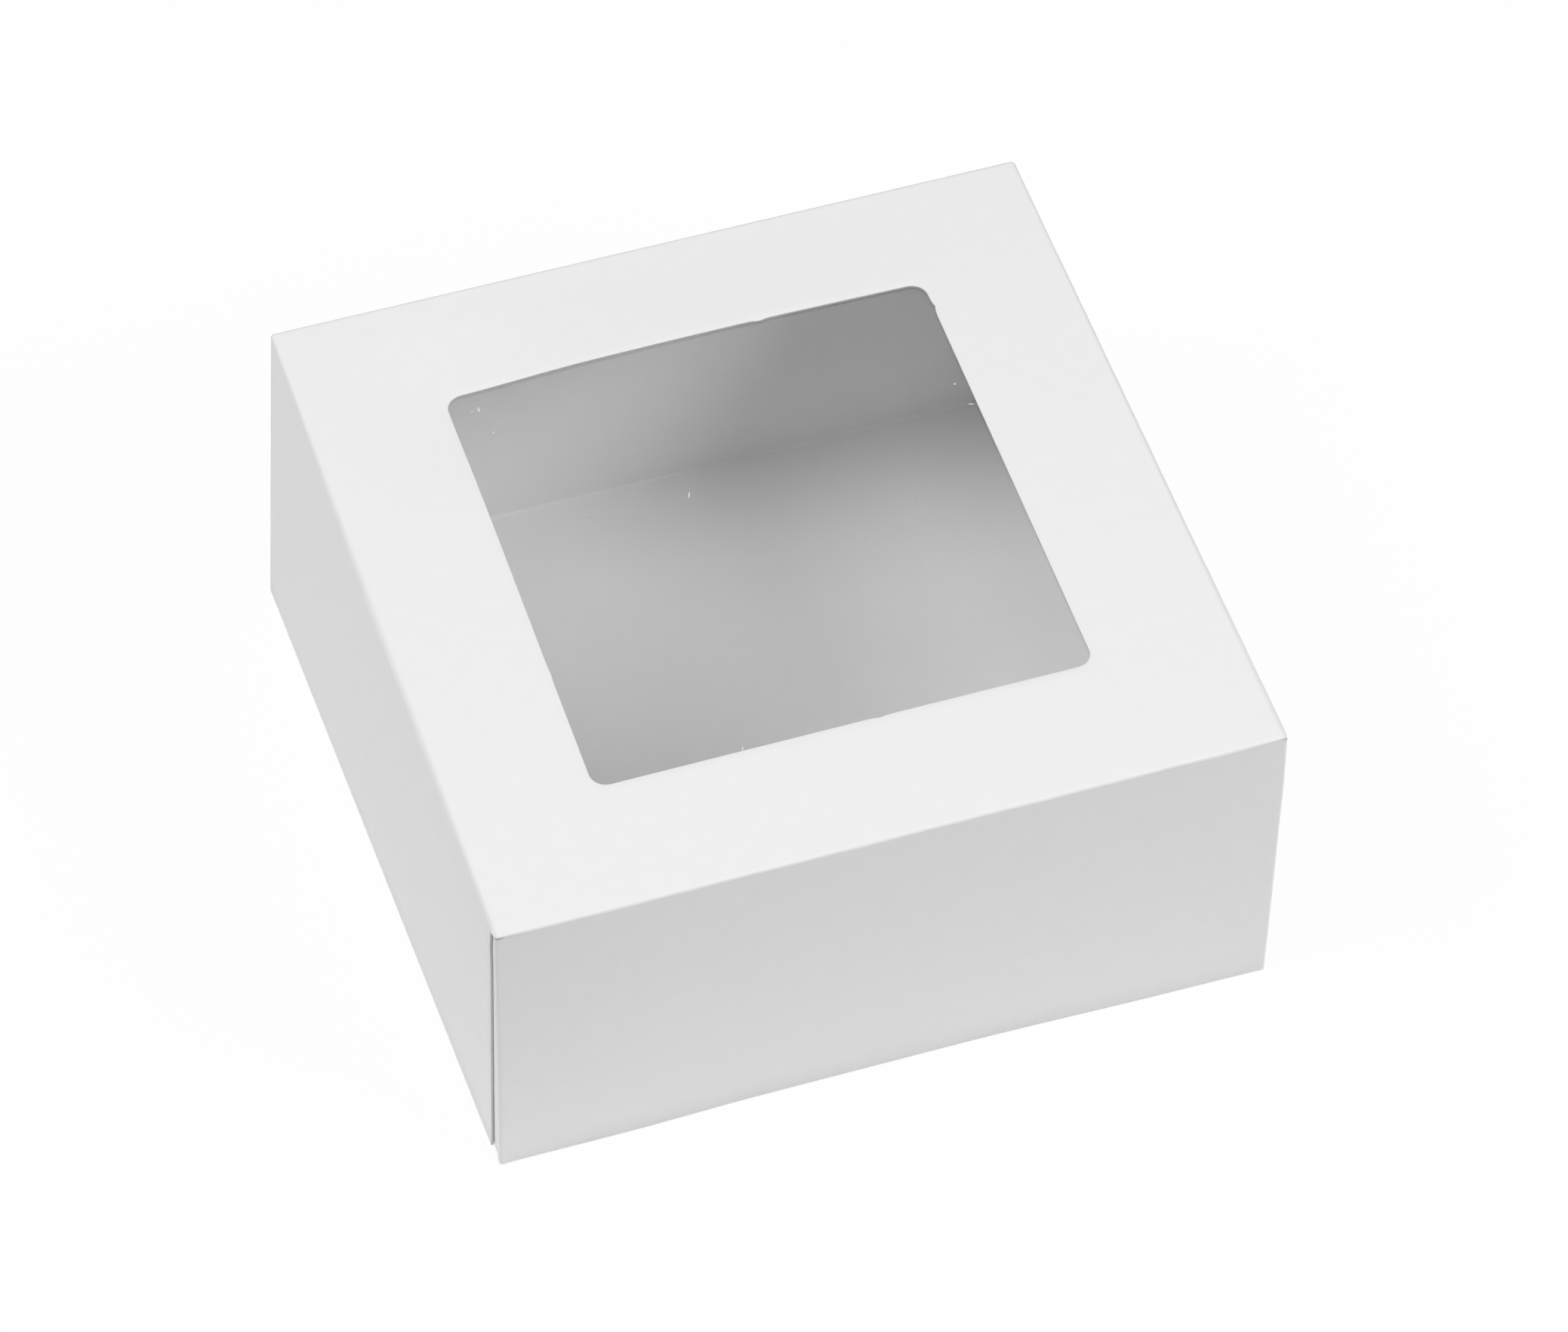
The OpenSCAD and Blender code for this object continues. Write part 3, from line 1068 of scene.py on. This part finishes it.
def clear_film():
    finish, surface, place = new_finish("clear_film")
    rubbed = place.noise(scale=35, detail=3, stretch=(1, 2, 1))
    haze = HAZE * rubbed ** 2
    marks = scratch(place, *SCRATCHES[0])
    for line in SCRATCHES[1:]:
        marks = marks + scratch(place, *line)
    mirrored = 2 * place.node("Fresnel", {"IOR": FILM_IOR})
    from_outside = 1 - place.node("NewGeometry", out="Backfacing")
    share = (from_outside * (mirrored + haze + marks)).bounded()
    feed(surface["Base Color"], FILM_TINT)
    feed(surface["Metallic"], (1 - HAZE_DULLS * haze - marks).bounded())
    feed(surface["Roughness"], (0.03 + 0.05 * rubbed + marks).bounded())
    mirror = Wire(finish.node_tree.nodes["Principled BSDF"].outputs[0])
    mix_shaders(finish, share, place.node("BsdfTransparent"), mirror)
    return finish


def dried_glue():
    finish, surface, place = new_finish("dried_glue")
    streaks = place.noise(scale=500, detail=3, stretch=(1, 1, 4))
    feed(surface["Base Color"], streaks.between((0.74, 0.72, 0.64), (0.86, 0.84, 0.76)))
    feed(surface["Roughness"], 0.25 + 0.25 * streaks)
    feed(surface["Normal"], streaks.bump(strength=0.4, depth=0.05 * MM))
    return finish


FILM_FINISH, GLUE_FINISH = clear_film(), dried_glue()
print("Finishes:", FILM_FINISH.name, "and", GLUE_FINISH.name)

# %% The film
film_low, film_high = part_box("window_film")
film_mid, film_size = (film_high + film_low).xy / 2, (film_high - film_low).xy
FILM_CUTS = 47
SLACK_FADE = 20 * MM
RIPPLE, RIPPLE_LENGTH, RIPPLE_WAY = 0.1 * MM, 58 * MM, Vector((0.8, 0.6))


def slack(point):
    """Film isn't stretched tight: it ripples a little across the window."""
    open_x = smooth_step((window_size.x / 2 - abs(point.x)) / SLACK_FADE)
    open_y = smooth_step((window_size.y / 2 - abs(point.y - window_mid.y)) / SLACK_FADE)
    along = RIPPLE_WAY.x * point.x + RIPPLE_WAY.y * point.y
    ripple = RIPPLE * math.sin(2 * math.pi * along / RIPPLE_LENGTH)
    return lifted(point) + Vector((0, 0, ripple * open_x * open_y))


film = add_sheet("clear_window", *film_size, (*film_mid, film_high.z))
bpy.ops.mesh.subdivide(number_cuts=FILM_CUTS)
thicken(film, (0, 0, 1), thickness=film_high.z - film_low.z, finishes=[FILM_FINISH])
reshape(film, slack)
bpy.ops.object.shade_smooth_by_angle(angle=SMOOTH_ANGLE)
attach(film, "lid")
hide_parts("window_film")
print("Film:", len(film.data.polygons), "faces")

# %% [markdown]
# ## Glue
#
# A glue wheel lays a line round the window, and it spreads unevenly as the film is pressed on. The line
# is another bridged ring, with both of its edges wavering. The glue in the tray's corners can't be seen
# between the wall and the tab, so its solids only need the finish.

# %% The line of glue
glue_low, glue_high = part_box("film_glue")
glue_mid, glue_outer = (glue_high + glue_low).xy / 2, (glue_high - glue_low).xy
glue_open_x = 2 * max(p.x for p in node_points("film_glue") if 0 < p.x < glue_high.x - TINY)
glue_width = (glue_outer.x - glue_open_x) / 2
glue_open = glue_outer - Vector((2 * glue_width, 2 * glue_width))
GLUE_CORNER, GLUE_CUTS = 2 * MM, 3
GLUE_WAVER, INNER_PHASE, OUTER_PHASE = 0.35 * MM, 3.3, 5.1


def spread(point):
    """The line's two edges, pressed out unevenly."""
    across = point.xy - glue_mid
    side = X if abs(across.x) / glue_outer.x > abs(across.y) / glue_outer.y else Y
    along = across[1 - side]
    inside = abs(across[side]) < glue_outer[side] / 2 - glue_width / 2
    waver = -wander(along, INNER_PHASE) if inside else wander(along, OUTER_PHASE)
    moved = lifted(point)
    moved[side] += math.copysign(GLUE_WAVER, across[side]) * waver
    return moved


glue_edges = (glue_mid, glue_open), (glue_mid, glue_outer)
glue = ring("film_glue_line", *glue_edges, glue_high.z, GLUE_CORNER, GLUE_CUTS)
thicken(glue, (0, 0, 1), thickness=glue_high.z - glue_low.z, finishes=[GLUE_FINISH])
reshape(glue, spread)
bpy.ops.object.shade_smooth_by_angle(angle=SMOOTH_ANGLE)
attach(glue, "lid")
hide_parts("film_glue")

corner_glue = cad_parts["corner_glue"]
corner_glue.data.materials.clear()
corner_glue.data.materials.append(GLUE_FINISH)
print(f"Glue line: {glue_width / MM:.1f} mm wide")

# %% [markdown]
# ## Floor and light
#
# The box stands on a white sweep under soft light. The white comes from the floor as the camera sees it,
# not from more light: most of it shines an even white, and the rest is plain and matte, so that a soft
# shadow stays. For every other ray it is a pale floor that bounces light up, and its colour darkens away
# from the box as painted shade, for light that falls off across a room, so that the walls aren't lit too
# strongly from below. The lamps stay out of reflections, so that the film mirrors only the even white
# and not six bright discs.

# %% The floor's finish
FLOOR_SHINE, FLOOR_ROUGH = 0.95, 0.9
# Near the box the floor is pale. Further off its colour darkens to a painted shade, which only light that
# bounces sees.
FLOOR_NEAR, FLOOR_FAR_SHADE = (0.93, 0.93, 0.93), (0.45, 0.45, 0.45)
FLOOR_PALE, FLOOR_DARK = 165 * MM, 495 * MM


def seen_directly(wire):
    """1 for what the camera sees, mirrored and refracted too, and 0 for light that bounces."""
    ray = wire.node("LightPath", out="Is Camera Ray")
    return (ray + ray.other("Is Glossy Ray") + ray.other("Is Transmission Ray")).bounded()


def pale_floor():
    finish, surface, place = new_finish("pale_floor")
    seen = seen_directly(place)
    # Painted shade: for light that bounces, the floor's colour darkens with distance from the box, while
    # the camera sees it pale.
    reach = place.node("VectorMath", {0: place}, out="Value", operation="LENGTH")
    near = ((FLOOR_DARK - reach) / (FLOOR_DARK - FLOOR_PALE)).bounded()
    feed(surface["Base Color"], (near + seen).bounded().between(FLOOR_FAR_SHADE, FLOOR_NEAR))
    feed(surface["Roughness"], FLOOR_ROUGH)
    feed(surface["Specular IOR Level"], 0.0)
    matte = Wire(finish.node_tree.nodes["Principled BSDF"].outputs[0])
    mix_shaders(finish, seen * FLOOR_SHINE, matte, place.node("Emission"))
    return finish


FLOOR_FINISH = pale_floor()
print("Finish:", FLOOR_FINISH.name)

# %% The floor
FLOOR_SIZE, FLOOR_DROP = 6, 0.05 * MM

bpy.ops.object.select_all(action="DESELECT")
bpy.ops.mesh.primitive_plane_add(size=FLOOR_SIZE, location=(0, 0, -FLOOR_DROP))
floor = bpy.context.object
floor.name = "floor"
floor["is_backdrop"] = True
floor.data.materials.append(FLOOR_FINISH)
print(f"Floor at {floor.location.z / MM:.2f} mm")

# %% The world's soft light
AMBIENT = 0.08

world = bpy.data.worlds.new("studio")
bpy.context.scene.world = world
world.use_nodes = True
soft = world.node_tree.nodes["Background"]
feed(soft.inputs["Color"], (1, 1, 1, 1))
feed(soft.inputs["Strength"], AMBIENT + (1 - AMBIENT) * seen_directly(Wire(soft.outputs[0])))
print("Light from all round:", AMBIENT)

# %% The lamps
LAMP_DISTANCE, LAMP_SIZE = 1.6, 0.8
LAMPS = {
    # name: degrees round from the front towards the right, degrees up, and power in watts
    "left": (270, 52, 7.8),
    "left_low": (270, 30, 2.7),
    "front_left": (315, 72, 5.1),
    "front_right": (45, 40, 12.1),
    "right": (90, 40, 3.1),
    "back_left": (225, 40, 3.0),
}

for name, (round_to, up, power) in LAMPS.items():
    lamp = bpy.data.objects.new(f"{name}_lamp", bpy.data.lights.new(name, "AREA"))
    bpy.context.scene.collection.objects.link(lamp)
    lamp.data.shape = "DISK"
    lamp.data.size = LAMP_SIZE
    lamp.data.energy = power
    lamp.visible_glossy = False
    way = from_above(math.radians(round_to), math.radians(up))
    lamp.location = AIM + LAMP_DISTANCE * way
    lamp.rotation_euler = way.to_track_quat("Z", "Y").to_euler()
print("Lamps:", list(LAMPS))

# %% [markdown]
# ## Check the size
#
# The dressed box may stand a few millimetres proud of the solids where board leans or lifts. Both boxes
# are kept, and how far the dressed one grows beyond the solids is printed.

# %% Set the view and compare the sizes
bpy.context.scene.view_settings.view_transform = "Standard"
seen_box = [list(corner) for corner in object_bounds()]
growth = [round((s - c) / MM, 2) for cad, seen in zip(cad_box, seen_box) for c, s in zip(cad, seen)]
print("Grown beyond the solids, low and high corners, mm:", growth)
